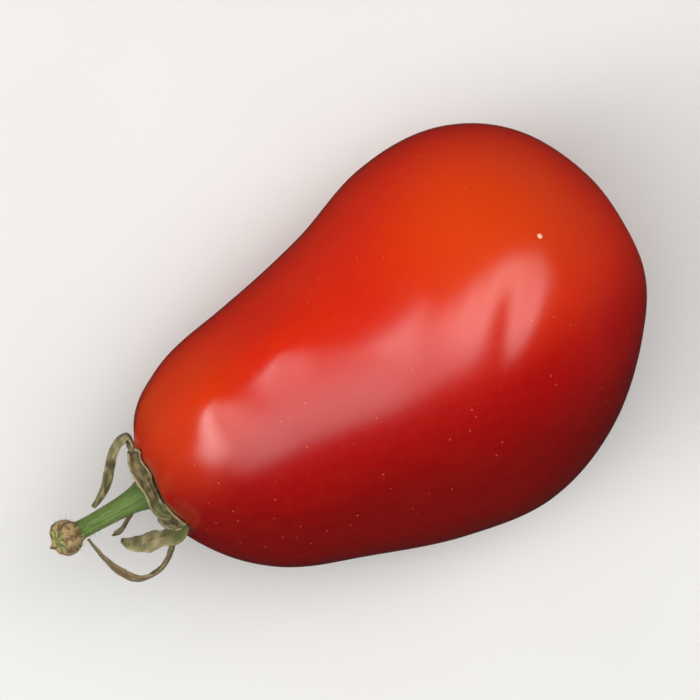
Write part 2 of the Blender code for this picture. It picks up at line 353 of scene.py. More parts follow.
@dataclass(frozen=True)
class RipeSkin:
    """Tomato skin: a clear waxy cuticle over red flesh.

    The cuticle gives a soft broad gloss with a gentle orange peel, and the flesh shows through it as orange
    where it ripened last and deep red where it ripened first, with tiny golden flecks. Deep red low down
    and warm red high up are also painted shade and painted light.
    """

    deep: str = "#780000"
    red: str = "#A70200"
    warm: str = "#CD2001"
    orange: str = "#D63A02"
    fleck: str = "#F08A40"
    shoulder: str = "#A06C16"
    cork: str = "#8A6844"
    cork_core: str = "#4A2E1C"
    pale_speck: str = "#FFE0C0"
    # Ripeness with painted light and shade: warmer higher up and towards +Y, deeper red lower down and
    # towards -Y
    # Both follow +Y, with these shares of Z and X, and patches that shift them by up to so many metres
    ripe_and_lit_shares: Point = (0.35, 0.22, 0.014)
    patch: float = 24 * MM
    ripe_and_lit_from: Pair = (-0.002, 0.020)
    warm_from: Pair = (0.014, 0.032)
    # The last orange patches: where they lie, and how far off they end and are fullest
    late_patch: Point = (21 * MM, 11 * MM, 56 * MM)
    late_reach: Pair = (31 * MM, 11 * MM)
    late_ragged: float = 12 * MM
    neck_patch: Point = (-38 * MM, 11 * MM, 40 * MM)
    neck_reach: Pair = (18 * MM, 5 * MM)
    neck_share: float = 0.65
    speck: Point = (25.1 * MM, 5.1 * MM, 56.2 * MM)
    fleck_cell: float = 1.7 * MM
    streak: float = 2.2 * MM
    mottle: float = 1.0 * MM
    # The skin's cells are far too fine to show, so this is a coarser unevenness
    peel: float = 0.55 * MM
    peel_depth: float = 0.006 * MM

    def make(self, seat: Vector, tip: Vector) -> Material:
        """Mixes the skin.

        Args:
            seat: Where the stalk joins the fruit.
            tip: The blossom end.

        Returns:
            The material.
        """
        mix = Recipe("tomato skin")
        colour, warm = self.ripeness_and_shade(mix)
        # The orange streaks and mottle show most on the warm side, which follows the painted light
        light = mix.maths("MULTIPLY_ADD", warm, 0.7, 0.3)
        streaks = mix.lumps(self.streak, 3.0, stretch=(9, 1, 1))
        mottle = mix.lumps(self.mottle, 3.0)
        for veil in (mix.ramp(streaks, 0.35, 0.75, 0, 0.12), mix.ramp(mottle, 0.45, 0.8, 0, 0.14)):
            colour = mix.blend(mix.maths("MULTIPLY", veil, light), colour, linear(self.orange))
        near_stem = mix.distance(seat)
        shoulder = mix.maths("MULTIPLY", mix.ramp(near_stem, 0.022, 0.007, 0, 0.75), mix.lumps(5 * MM, 3.0))
        # The shoulder's colour shows only on the warm side, which follows the painted light
        colour = mix.blend(mix.maths("MULTIPLY", shoulder, warm), colour, linear(self.shoulder))
        colour = mix.blend(self.flecks(mix, near_stem), colour, linear(self.fleck))
        speck = mix.ramp(mix.distance(Vector(self.speck)), 0.55 * MM, 0.3 * MM, 0, 0.8)
        colour = mix.blend(speck, colour, linear(self.pale_speck))
        ragged = mix.maths("MULTIPLY_ADD", mix.lumps(0.9 * MM, 3.0), 1.6 * MM, mix.distance(tip))
        scar = mix.ramp(ragged, 2.2 * MM, 1.6 * MM)
        core = mix.ramp(ragged, 1.2 * MM, 0.7 * MM)
        colour = mix.blend(scar, colour, mix.blend(core, linear(self.cork), linear(self.cork_core)))
        rough = mix.maths("ADD", mix.ramp(mottle, 0.3, 0.7, 0.23, 0.27), mix.maths("MULTIPLY", scar, 0.45))
        normal = mix.relief(mix.lumps(self.peel, 2.0), self.peel_depth)
        return mix.finish(
            {"Base Color": colour, "Roughness": rough, "Normal": normal},
            {
                "IOR": 1.47,
                "Subsurface Weight": 0.12,
                "Subsurface Radius": (1.0, 0.22, 0.08),
                "Subsurface Scale": 2.5 * MM,
                "Coat Weight": 0.45,
                "Coat Roughness": 0.2,
                "Coat IOR": 1.45,
            },
        )

    def ripeness_and_shade(self, mix: Recipe) -> tuple[NodeSocket, NodeSocket]:
        """Mixes the flesh: deep red low on the near side, partly as painted shade, orange where it ripened
        last.

        Args:
            mix: The material being mixed.

        Returns:
            The colour, and how warm it is.
        """
        place = add_node(mix.tree, "SeparateXYZ", {0: mix.place}).outputs
        patches = mix.lumps(self.patch, 1.5, stretch=(1.6, 1, 1))
        # Painted light and shade with ripeness: warmer higher up and towards +Y, deeper red lower down and
        # towards -Y
        ripe_and_lit = place[1]
        for part, share in zip((place[2], place[0], patches), self.ripe_and_lit_shares):
            ripe_and_lit = mix.maths("MULTIPLY_ADD", part, share, ripe_and_lit)
        warm = mix.ramp(ripe_and_lit, *self.warm_from)
        colour = mix.blend(mix.ramp(ripe_and_lit, *self.ripe_and_lit_from), linear(self.deep), linear(self.red))
        colour = mix.blend(warm, colour, linear(self.warm))
        late = mix.maths("MULTIPLY_ADD", patches, self.late_ragged, mix.distance(Vector(self.late_patch)))
        colour = mix.blend(mix.ramp(late, *self.late_reach), colour, linear(self.orange))
        neck = mix.ramp(mix.distance(Vector(self.neck_patch)), *self.neck_reach, 0, self.neck_share)
        return mix.blend(neck, colour, linear(self.orange)), warm

    def flecks(self, mix: Recipe, near_stem: NodeSocket) -> NodeSocket:
        """Scatters golden flecks of about 0.3 mm, more of them towards the stem end.

        Args:
            mix: The material being mixed.
            near_stem: Distance from the stalk's seat.

        Returns:
            How much of the fleck's colour shows.
        """
        inputs = {"Vector": mix.place, "Scale": 1 / self.fleck_cell}
        cells = add_node(mix.tree, "TexVoronoi", inputs, feature="F1", distance="EUCLIDEAN")
        chance = add_node(mix.tree, "SeparateColor", {0: cells.outputs["Color"]}).outputs[0]
        wanted = mix.ramp(near_stem, 0.012, 0.05, 0.6, 0.2)
        shown = mix.maths("LESS_THAN", chance, wanted)
        return mix.maths("MULTIPLY", shown, mix.ramp(cells.outputs["Distance"], 0.13, 0.04, 0, 0.4))


@dataclass(frozen=True)
class DriedSepal:
    """Dried leaf tissue: grey-green and fuzzy, with paler veins and edges, and brown painted shade in
    folds.
    """

    green: str = "#525630"
    light: str = "#827C54"
    # pale is also painted light on the crimps' crests, and hollow is painted shade in their bottoms
    pale: str = "#AEA276"
    hollow: str = "#2E3018"
    brown: str = "#44341C"
    dry: str = "#6E5232"
    fresh: str = "#55622C"
    patch: float = 1.6 * MM
    grit: float = 0.5 * MM
    relief: float = 0.16 * MM
    veins: float = VEIN_TURN

    def make(self, face: Face) -> Material:
        """Mixes one face of the sepals.

        Args:
            face: The face that the material is for.

        Returns:
            The material.
        """
        hollow = face is Face.HOLLOW
        mix = Recipe("dried sepal, hollow face" if hollow else "dried sepal, back")
        lateral = mix.attribute("lateral")
        dry = mix.attribute("dry")
        patches = mix.lumps(self.patch, 3.0)
        # The hollow face is browner and darker than the back, partly as painted shade in the fold
        first, second, share = (
            (self.brown, self.green, (0.45, 0.85)) if hollow else (self.green, self.light, (0.32, 0.62))
        )
        colour = mix.blend(mix.ramp(patches, *share), linear(first), linear(second))
        if hollow:
            # Painted shade down the hollow face's trough, near the line that the shade attribute sets, and
            # painted light towards its rims
            off_shade = mix.maths("ABSOLUTE", mix.maths("SUBTRACT", lateral, mix.attribute("shade")))
            deep = mix.maths("MULTIPLY_ADD", patches, 0.3, off_shade)
            colour = mix.blend(mix.ramp(deep, 0.4, 0.75), colour, linear(self.light))
        colour = self.crimp_light_and_shade(mix, colour)
        dried = mix.maths("MULTIPLY", dry, mix.ramp(patches, 0.2, 0.6, 0.4, 1))
        colour = mix.blend(dried, colour, linear(self.dry))
        veins = self.veined(mix, lateral)
        edge = self.edged(mix, lateral, patches, dry)
        colour = mix.blend(mix.maths("MAXIMUM", veins, edge), colour, linear(self.pale))
        root = mix.ramp(mix.attribute("along"), 5.0, 1.5, 0, 0.6)
        colour = mix.blend(root, colour, linear(self.fresh))
        height = mix.maths("ADD", mix.lumps(self.grit, 3.0), mix.maths("MULTIPLY", veins, 0.8))
        return mix.finish(
            {"Base Color": colour, "Normal": mix.relief(height, self.relief)},
            {"Roughness": 0.85, "IOR": 1.4, "Sheen Weight": 0.12, "Sheen Roughness": 0.5},
        )

    def crimp_light_and_shade(self, mix: Recipe, colour: NodeSocket) -> NodeSocket:
        """Paints shade into the bottoms of the crimps and paints light on their crests."""
        crest = mix.attribute("crest")
        colour = mix.blend(mix.ramp(crest, 0.0, -0.45, 0, 0.75), colour, linear(self.hollow))
        return mix.blend(mix.ramp(crest, 0.05, 0.5, 0, 0.75), colour, linear(self.pale))

    def veined(self, mix: Recipe, lateral: NodeSocket) -> NodeSocket:
        """How much a vein shows, broken up along its length."""
        waves = mix.maths("ABSOLUTE", mix.maths("SINE", mix.maths("MULTIPLY", lateral, self.veins)))
        broken = mix.ramp(mix.lumps(0.7 * MM, 2.0), 0.35, 0.65)
        return mix.maths("MULTIPLY", mix.ramp(waves, 0.4, 0.05, 0, 0.35), broken)

    def edged(self, mix: Recipe, lateral: NodeSocket, patches: NodeSocket, dry: NodeSocket) -> NodeSocket:
        """How much of the pale edge shows: ragged, broken up, and less of it where the sepal is dry."""
        ragged = mix.maths("MULTIPLY_ADD", patches, 0.3, mix.maths("ABSOLUTE", lateral))
        less = mix.maths("MULTIPLY_ADD", dry, -0.7, 1.0)
        edge = mix.maths("MULTIPLY", mix.ramp(ragged, 0.92, 1.12, 0, 0.85), less)
        return mix.maths("MULTIPLY", edge, mix.ramp(mix.lumps(1.3 * MM, 3.0), 0.35, 0.62, 0.2, 1))


@dataclass(frozen=True)
class GreenStalk:
    """Living stalk: fresh green and finely ribbed, with a corky knuckle, pale and rough where it broke."""

    green: str = "#6F8C40"
    dark: str = "#455A22"
    cork: str = "#AA9060"
    crease: str = "#6C5832"
    face: str = "#ACA85C"
    face_crease: str = "#5E6436"
    ribs: float = 14.0
    # Where the green turns to cork, in mm along the stalk
    cork_from: Pair = (15.8, 17.8)
    relief: float = 0.12 * MM

    def make(self) -> Material:
        """Mixes the stalk from its foot to its broken end."""
        mix = Recipe("green stalk and cork")
        along = mix.attribute("along")
        around = mix.attribute("around")
        turned = mix.maths("MULTIPLY", around, self.ribs)
        turned = mix.maths("MULTIPLY_ADD", mix.lumps(1.5 * MM, 2.0), 3.0, turned)
        ribs = mix.ramp(mix.maths("SINE", turned), -1.0, 1.0)
        streaks = mix.lumps(0.5 * MM, 3.0, stretch=(8, 1, 1))
        colour = mix.blend(mix.ramp(streaks, 0.25, 0.75, 0.45, 1), linear(self.dark), linear(self.green))
        # Painted shade: darker in the grooves between the ribs, and near the foot, in the calyx's shadow
        for shade in (mix.ramp(ribs, 0.0, 0.3, 0.3, 0), mix.ramp(along, 6.0, 2.0, 0, 0.6)):
            colour = mix.blend(shade, colour, linear(self.dark))
        patches = mix.lumps(0.9 * MM, 4.0)
        corky = mix.ramp(mix.maths("MULTIPLY_ADD", patches, 1.6, along), *self.cork_from)
        turned = mix.maths("MULTIPLY_ADD", patches, 9.0, mix.maths("MULTIPLY", around, self.ribs / 2))
        ridges = mix.ramp(mix.maths("MULTIPLY_ADD", mix.maths("SINE", turned), 0.5, patches), 0.0, 1.0)
        colour = mix.blend(corky, colour, mix.blend(ridges, linear(self.crease), linear(self.cork)))
        core = mix.blend(ridges, linear(self.face_crease), linear(self.face))
        colour = mix.blend(mix.ramp(mix.attribute("inset"), 0.2, 0.6), colour, core)
        height = mix.maths("ADD", mix.maths("MULTIPLY", ribs, 0.4), mix.maths("MULTIPLY", ridges, corky))
        return mix.finish(
            {"Base Color": colour, "Normal": mix.relief(height, self.relief)},
            {"Roughness": 0.55, "IOR": 1.42, "Sheen Weight": 0.05},
        )


@dataclass(frozen=True)
class PlantHair:
    """Stiff clear plant hairs, which catch the light as a pale down."""

    clear: str = "#D8D2B4"
    browned: str = "#A89A78"

    def make(self) -> Material:
        """Mixes the hairs, a little darker and browner in places."""
        mix = Recipe("plant hair")
        patches = mix.ramp(mix.lumps(1.2 * MM, 2.0), 0.35, 0.7)
        colour = mix.blend(patches, linear(self.browned), linear(self.clear))
        return mix.finish({"Base Color": colour}, {"Roughness": 0.5, "IOR": 1.5, "Sheen Weight": 0.3})


@dataclass(frozen=True)
class PaleBoard:
    """Matt painted board under the fruit, almost white with the faintest roller texture."""

    paint: str = "#E0DFDC"
    thin: str = "#DCDAD6"

    def make(self) -> Material:
        """Mixes the board."""
        mix = Recipe("matt painted board")
        patches = mix.ramp(mix.lumps(60 * MM, 2.0), 0.3, 0.7, 0, 0.5)
        colour = mix.blend(patches, linear(self.paint), linear(self.thin))
        return mix.finish({"Base Color": colour}, {"Roughness": 0.9})


# Pieces


@dataclass
class Fruit:
    """The whole berry, from the stem dimple to the blossom scar.

    Stations run along it as (share of the length from the stem end, value in mm). A half width is the
    fullness times the height of the half circle at that share.
    """

    length: float = 90.3 * MM
    stem_end: float = -49.2 * MM
    rest_y: float = 0.5 * MM
    sink: float = 0.35 * MM
    across: tuple[Station, ...] = (
        (0, 27.0), (0.04, 29.2), (0.12, 28.3), (0.28, 26.3), (0.46, 28.3), (0.62, 32.5), (0.8, 35.0),
        (1, 35.6),
    )
    upright: tuple[Station, ...] = (
        (0, 26.5), (0.04, 28.4), (0.12, 27.9), (0.28, 26.0), (0.46, 27.4), (0.62, 30.8), (0.8, 33.2),
        (1, 34.0),
    )
    shift: tuple[Station, ...] = (
        (0, 2.6), (0.04, 2.2), (0.12, 0.9), (0.28, -0.5), (0.46, -1.6), (0.62, -0.4), (0.8, 2.1),
        (0.92, 3.2), (1, 1.7),
    )
    height: tuple[Station, ...] = (
        (0, 25.1), (0.12, 26.2), (0.28, 26.4), (0.46, 27.9), (0.62, 30.4), (0.8, 31.0), (0.92, 29.8),
        (1, 27.8),
    )
    # (how many round the girth, height as a share of the radius, crest in degrees, where strongest, spread)
    lobes: Rows = (
        (2, 0.010, 100, 0.50, 0.40), (3, 0.012, 64, 0.30, 0.22), (5, 0.007, 96, 0.80, 0.14),
    )
    stem_dimple: Pair = (2.6 * MM, 6.2 * MM)
    stem_folds: tuple[int, float, float, float] = (5, 0.3 * MM, 8.0 * MM, 3.0 * MM)
    blossom_dimple: Pair = (0.9 * MM, 5.0 * MM)
    scar: Pair = (0.5 * MM, 1.3 * MM)
    # Two soft swells on the neck, where lobes run out, and a furrow where the flesh shrank:
    # (x, y, heading in degrees, half length, half width, height) in mm
    swells: Rows = (
        (-19.5, 12.3, 0, 7.0, 5.5, 2.1), (-33.8, 11.2, 0, 6.0, 5.5, 1.9), (14.7, -4.0, 54, 7.0, 3.6, -0.55),
    )
    # The sine of the angle above the girth below which the swells fade out
    swells_fade: float = 0.4
    # Fine creases in and beside the furrow, in the same terms as the swells
    creases: Rows = (
        (13.4, -5.0, 52, 7.0, 1.9, -0.30), (9.6, -0.8, 50, 5.0, 0.9, -0.12),
        (18.0, -3.4, 52, 5.0, 0.7, -0.11), (19.8, -2.6, 54, 3.5, 0.6, -0.06),
    )
    # (how many round the stem end, height, angle from the stem end where strongest, spread)
    puckers: tuple[int, float, float, float] = (13, 0.09 * MM, 0.5, 0.22)
    undulation: Pair = (15 * MM, 0.09 * MM)
    # The fine relief fades out this close to the ground, so that the flat spot stays flat
    relief_fade: float = 3 * MM
    round_segments: int = 256
    length_segments: int = 190
    ends_finer: float = 0.45

    def lobe_factor(self, share: float, around: float) -> float:
        """How much the lobes swell the radius at this share of the length and angle round it."""
        factor = 1.0
        for count, height, crest_deg, peak, spread in self.lobes:
            wave = math.cos(count * (around - math.radians(crest_deg)))
            factor += height * bump(share - peak, spread) * wave
        return factor

    def swell_height(self, swells: Sequence[Sequence[float]], at_x: float, at_y: float) -> float:
        """How high long swells stand, or furrows lie, at a place on the upper half, in metres."""
        height = 0.0
        for x, y, heading, half_length, half_width, high in swells:
            away = Vector((at_x - x * MM, at_y - y * MM)) @ Matrix.Rotation(math.radians(heading), 2)
            height += high * MM * bump(away.x, half_length * MM) * bump(away.y, half_width * MM)
        return height

    def skin_point(self, polar: float, around: float) -> Vector:
        """Finds a point of the skin.

        Args:
            polar: Angle from the stem end, 0, to the blossom end, pi.
            around: Angle round the length, from +Y.

        Returns:
            The point in metres.
        """
        share = (1 - math.cos(polar)) / 2
        girth = math.sin(polar) * self.lobe_factor(share, around) * MM
        y = between(self.across, share) * girth * math.cos(around)
        z = between(self.upright, share) * girth * math.sin(around)
        from_axis = math.hypot(y, z)
        x = self.stem_end + self.length * share
        if share < 0.5:
            depth, radius = self.stem_dimple
            x += depth * math.exp(-((from_axis / radius) ** 4))
            count, height, at, spread = self.stem_folds
            fold = bump(from_axis - at, spread)
            x += height * fold * math.cos(count * around)
        else:
            depth, radius = self.blossom_dimple
            x -= depth * bump(from_axis, radius)
            height, spread = self.scar
            x += height * bump(from_axis, spread)
        rest_share = -self.stem_end / self.length
        y += (between(self.shift, share) - between(self.shift, rest_share)) * MM - self.rest_y
        z += between(self.height, share) * MM - self.sink
        upper = min(1, max(0, math.sin(around)) / self.swells_fade)
        return Vector((x, y, z + self.swell_height(self.swells, x, y) * upper))

    def detailed(self, polar: float, around: float) -> Vector:
        """A point of the skin with the fine relief that the plain shape leaves out."""
        point = self.skin_point(polar, around)
        ring = math.sin(polar)
        outwards = Vector((-0.6 * math.cos(polar), ring * math.cos(around), ring * math.sin(around)))
        size, height = self.undulation
        lift = height * grain(point, size, 3.1)
        if math.sin(around) > 0:
            lift += self.swell_height(self.creases, point.x, point.y)
        count, pucker, at, spread = self.puckers
        lift += pucker * math.cos(count * around) * bump(polar - at, spread)
        lift *= min(1.0, max(0.0, point.z / self.relief_fade))
        return point + outwards * lift

    def make(self, finish: Material) -> Object:
        """Shapes the berry from a sphere and cuts it flat where it rests.

        Args:
            finish: The skin.

        Returns:
            The piece.
        """
        bm = bmesh.new()
        bmesh.ops.create_uvsphere(
            bm, u_segments=self.round_segments, v_segments=self.length_segments, radius=1
        )
        settle(bm)
        for vert in bm.verts:
            even = math.acos(max(-1, min(1, -vert.co.z)))
            polar = even - self.ends_finer * math.sin(2 * even) / 2
            vert.co = self.detailed(polar, math.atan2(vert.co.y, vert.co.x))
        everything = bm.verts[:] + bm.edges[:] + bm.faces[:]
        cut = bmesh.ops.bisect_plane(
            bm, geom=everything, plane_co=(0, 0, 0), plane_no=(0, 0, -1), clear_outer=True
        )
        rim = [edge for edge in cut["geom_cut"] if isinstance(edge, BMEdge)]
        bmesh.ops.contextual_create(bm, geom=rim)
        bmesh.ops.recalc_face_normals(bm, faces=bm.faces)
        return dress(piece_from("fruit_skin", bm, finish), "fruit")


@dataclass
class Sepal:
    """One dried blade of the calyx, laid along a route, with rolled, wavy and crimped edges.

    The route's points are (towards the blossom end, +Y, +Z) from the seat in mm.
    """

    name: str
    root_deg: float
    root_radius: float
    facing: Point
    widths: tuple[Station, ...]
    roll_deg: float
    twists: tuple[Station, ...]
    route: tuple[Point, ...]
    dry: float = 0.2
    # Where across the blade, from -1 to 1, the painted shade on the hollow face lies
    shade: float = 0.0
    crimp: float = 0.16 * MM
    crimp_size: float = 1.1 * MM
    root_depth: float = 0.95 * MM
    edge_wave: float = 0.3 * MM
    edge_wave_count: float = 2.6
    thickness: float = 0.34 * MM
    vein_height: float = 0.07 * MM
    midrib: float = 0.16 * MM
    steps: int = 10
    cells: int = 20

    def lift(self, share: float, lateral: float, at: Vector) -> float:
        """Height of edge wave, midrib, veins and crimps over the plain rolled blade, in metres."""
        root = math.radians(self.root_deg)
        wave = math.sin(2 * math.pi * self.edge_wave_count * share + root + lateral)
        lift = self.edge_wave * wave * lateral**2 * math.sin(math.pi * share)
        lift += self.midrib * bump(lateral, 0.16) * (1 - share)
        lift -= self.vein_height * abs(math.sin(VEIN_TURN * lateral))
        return lift + self.crimp * self.crest(lateral, at) * (0.3 + 0.7 * abs(lateral)) * min(1, share * 5)

    def crest(self, lateral: float, at: Vector) -> float:
        """How far a place stands on a crest of the crimps, from about -1 to 1."""
        return grain(at + Vector((0, 0, lateral * 2 * MM)), self.crimp_size, math.radians(self.root_deg))

    def blade(self, seat: Vector, skin: BVHTree) -> BMesh:
        """Lays the blade's middle surface along the route.

        Args:
            seat: The bottom of the stem dimple.
            skin: Search tree of the fruit's surface.

        Returns:
            The blade without its thickness.
        """
        root = math.radians(self.root_deg)
        outwards = Vector((0, math.cos(root), math.sin(root)))
        start = seat + outwards * self.root_radius * MM - Vector((self.root_depth, 0, 0))
        path = smooth_path([start] + [seat + Vector(point) * MM for point in self.route], self.steps)
        frames = frames_along(path, Vector(self.facing))
        walked = [0.0]
        for a, b in zip(path, path[1:]):
            walked.append(walked[-1] + (b - a).length)
        bm = bmesh.new()
        bmesh.ops.create_grid(bm, x_segments=self.cells, y_segments=len(path) - 1, size=1)
        layers = layers_on(bm, "along", "lateral", "dry", "shade", "crest")
        for vert in bm.verts:
            lateral = vert.co.x
            share = (vert.co.y + 1) / 2
            station = round(share * (len(path) - 1))
            along, across, facing = frames[station]
            turn = Matrix.Rotation(math.radians(between(self.twists, share)), 3, along)
            half = between(self.widths, share) * MM / 2
            roll = math.radians(self.roll_deg) * (0.3 + 0.7 * share)
            side = math.sin(roll * lateral) / roll * half
            lift = (1 - math.cos(roll * lateral)) / roll * half
            lift += self.lift(share, lateral, path[station])
            crest = self.crest(lateral, path[station])
            for layer, value in zip(layers, (walked[station] / MM, lateral, self.dry, self.shade, crest)):
                vert[layer] = value
            vert.co = self.clear_of_skin(path[station] + turn @ (across * side + facing * lift), skin)
        # The first face lies flat at the root, so it tells whether the normals point to the hollow side
        bm.faces.ensure_lookup_table()
        bmesh.ops.recalc_face_normals(bm, faces=bm.faces)
        middle = bm.faces[self.cells // 2]
        middle.normal_update()
        turn = Matrix.Rotation(math.radians(between(self.twists, 0)), 3, frames[0][0])
        if middle.normal.dot(turn @ frames[0][2]) < 0:
            bmesh.ops.reverse_faces(bm, faces=bm.faces)
        return bm

    def clear_of_skin(self, point: Vector, skin: BVHTree) -> Vector:
        """Draws a point back towards the stalk where a blade there would touch the fruit."""
        hit, normal, _, _ = skin.ray_cast(Vector((-0.1, point.y, point.z)), Vector((1, 0, 0)))
        if hit is None:
            return point
        room = (0.15 * MM + self.thickness / 2) / max(abs(normal.x), 0.35)
        return Vector((min(point.x, hit.x - room), point.y, point.z))

    def make(self, seat: Vector, skin: BVHTree, finishes: dict[Face, Material]) -> Object:
        """Makes the sepal with its thickness.

        Args:
            seat: The bottom of the stem dimple.
            skin: Search tree of the fruit's surface.
            finishes: The materials of its two faces.

        Returns:
            The piece.
        """
        bm = self.blade(seat, skin)
        piece = piece_from("sepal_" + self.name, bm, finishes[Face.HOLLOW], finishes[Face.BACK])
        shell = piece.modifiers.new("thickness", "SOLIDIFY")
        shell.thickness = self.thickness
        shell.offset = 0
        shell.material_offset = 1
        shell.material_offset_rim = 1
        return dress(piece, "calyx")


# The collar is where the sepals join. Both low ones are one sepal, folded back on itself.
SEPALS = (
    Sepal(
        "folded_high", 14, 3.2, (-1, 0, 0),
        ((0, 3.0), (0.25, 3.7), (0.5, 2.9), (0.75, 2.1), (1, 1.1)), 105,
        ((0, 0), (0.25, 10), (0.42, -20), (0.6, -58), (1, -62)),
        (
            (-1.0, 5.0, 1.2), (-0.7, 7.6, 1.8), (-0.6, 9.8, 2.2), (-2.3, 10.0, 2.1), (-4.3, 8.7, 1.8),
            (-6.2, 6.6, 1.3), (-8.1, 4.6, 0.6), (-10.0, 3.3, -0.3), (-11.5, 2.6, -1.2),
        ),
    ),
    Sepal(
        "collar", 170, 4.6, (-1, 0, 0),
        ((0, 1.6), (0.2, 2.6), (0.5, 2.2), (0.8, 2.6), (1, 1.2)), 25,
        ((0, 0), (1, 0)),
        (
            (-1.2, -4.2, 2.6), (-1.4, -3.4, 3.9), (-1.7, -1.4, 4.4), (-1.7, 0.8, 4.5), (-1.5, 2.8, 4.3),
            (-1.0, 4.4, 3.6),
        ),
    ),
    Sepal(
        "upright", 137, 7.9, (-1, 0, 0),
        ((0, 1.2), (0.2, 2.2), (0.5, 2.9), (0.72, 5.0), (0.88, 5.0), (1, 2.0)), 95,
        ((0, 100), (0.3, 112), (0.65, 112), (1, 100)),
        (
            (-2.1, -4.7, 5.4), (-2.5, -3.0, 5.5), (-2.3, -0.6, 5.6), (-2.2, 1.8, 5.7), (-1.9, 4.0, 5.9),
            (-1.5, 5.8, 6.5), (-1.5, 6.9, 7.7),
        ),
        shade=0.9,
    ),
    Sepal(
        "low_cup", 150, 3.2, (-1, 0, 0),
        ((0, 3.0), (0.3, 3.8), (0.7, 4.0), (0.9, 3.4), (1, 1.6)), 80,
        ((0, 0), (0.4, -60), (0.7, -85), (1, -95)),
        (
            (-1.7, -4.0, 3.8), (-1.5, -5.4, 4.8), (-0.9, -6.8, 5.5), (-0.3, -8.0, 6.1), (0.1, -8.7, 7.0),
        ),
    ),
    Sepal(
        "low_tongue", 142, 9.9, (0, 0, -1),
        ((0, 1.4), (0.12, 2.8), (0.3, 4.4), (0.55, 4.7), (0.8, 4.0), (1, 1.6)), 85,
        ((0, 0), (0.15, -25), (0.35, -50), (1, -45)),
        (
            (-0.5, -8.2, 6.5), (-1.6, -8.3, 7.0), (-3.2, -7.9, 7.3), (-5.2, -7.3, 7.1), (-7.2, -6.6, 6.7),
            (-8.8, -5.8, 6.3), (-9.9, -4.9, 6.0),
        ),
        crimp=0.8 * MM,
        crimp_size=1.7 * MM,
    ),
    Sepal(
        "looped", 212, 3.2, (-1, 0, 0),
        ((0, 2.6), (0.3, 3.6), (0.6, 3.4), (0.85, 2.2), (1, 0.9)), 60,
        ((0, 0), (0.4, 0), (0.6, 25), (1, 10)),
        (
            (-1.0, -4.9, -2.4), (-1.6, -7.4, -3.0), (-3.6, -9.9, -3.6), (-6.2, -11.6, -4.0),
            (-8.9, -12.0, -4.2), (-11.4, -11.3, -4.2), (-13.2, -9.1, -4.0), (-14.2, -6.1, -3.6),
            (-14.6, -3.6, -3.0), (-14.9, -1.6, -2.4),
        ),
        dry=0.75,
    ),
    Sepal(
        "under", 282, 3.2, (-1, 0, 0),
        ((0, 3.2), (0.3, 4.6), (0.6, 3.6), (1, 1.0)), 75,
        ((0, 0), (0.5, 70), (1, 70)),
        (
            (-1.0, 1.0, -5.2), (-1.1, 1.5, -7.7), (-2.2, 1.2, -9.8), (-4.6, 0.2, -10.3), (-7.2, -1.4, -9.0),
            (-9.4, -2.8, -6.9), (-10.8, -2.8, -4.9),
        ),
    ),
)


@dataclass
class Calyx:
    """The ring round the stalk's foot and the five dried sepals that grow from it."""

    gap: float = 0.3 * MM
    hole: float = 2.5 * MM
    outer: float = 4.4 * MM
    thickness: float = 1.3 * MM
    pucker: float = 0.05
    ring_segments: int = 72

    def ring(self, seat: Vector, finish: Material) -> Object:
        """Spins the ring and puckers it between the sepals.

        Args:
            seat: The bottom of the stem dimple.
            finish: The material of the sepals' backs.

        Returns:
            The piece.
        """
        near, far = -self.gap, -self.gap - self.thickness
        profile = (
            (near, self.hole),
            (far, self.hole),
            (far - 0.1 * MM, self.hole + 0.4 * MM),
            (far, self.hole + 0.8 * MM),
            (near - self.thickness * 0.75, self.outer - 0.3 * MM),
            (near - self.thickness * 0.4, self.outer),
            (near, self.outer - 0.4 * MM),
        )
        bm = bmesh.new()
        corners = [bm.verts.new(seat + Vector((along, radius, 0))) for along, radius in profile]
        edges = [bm.edges.new(pair) for pair in zip(corners, corners[1:] + corners[:1])]
        bmesh.ops.spin(
            bm,
            geom=corners + edges,
            cent=seat,
            axis=(1, 0, 0),
            angle=2 * math.pi,
            steps=self.ring_segments,
            use_merge=True,
        )
        bmesh.ops.remove_doubles(bm, verts=bm.verts, dist=0.01 * MM)
        settle(bm)
        bmesh.ops.recalc_face_normals(bm, faces=bm.faces)
        along_layer, lateral_layer = layers_on(bm, "along", "lateral")
        for vert in bm.verts:
            away = vert.co - seat
            radius = math.hypot(away.y, away.z)
            swell = 1 + self.pucker * grain(vert.co, 1.2 * MM) * min(1, max(0, radius - self.hole) / MM)
            vert.co = seat + Vector((away.x, away.y * swell, away.z * swell))
            vert[along_layer] = (radius - self.hole) / MM
            vert[lateral_layer] = math.sin(5 * math.atan2(away.z, away.y)) * 0.7
        return dress(piece_from("calyx_ring", bm, finish), "calyx")

    def make(self, seat: Vector, skin: BVHTree, finish: DriedSepal) -> list[Object]:
        """Makes the ring and the sepals.

        Args:
            seat: The bottom of the stem dimple.
            skin: Search tree of the fruit's surface.
            finish: How dried sepals look.

        Returns:
            The pieces.
        """
        finishes = {face: finish.make(face) for face in Face}
        ring = self.ring(seat, finishes[Face.BACK])
        return [ring, *(sepal.make(seat, skin, finishes) for sepal in SEPALS)]


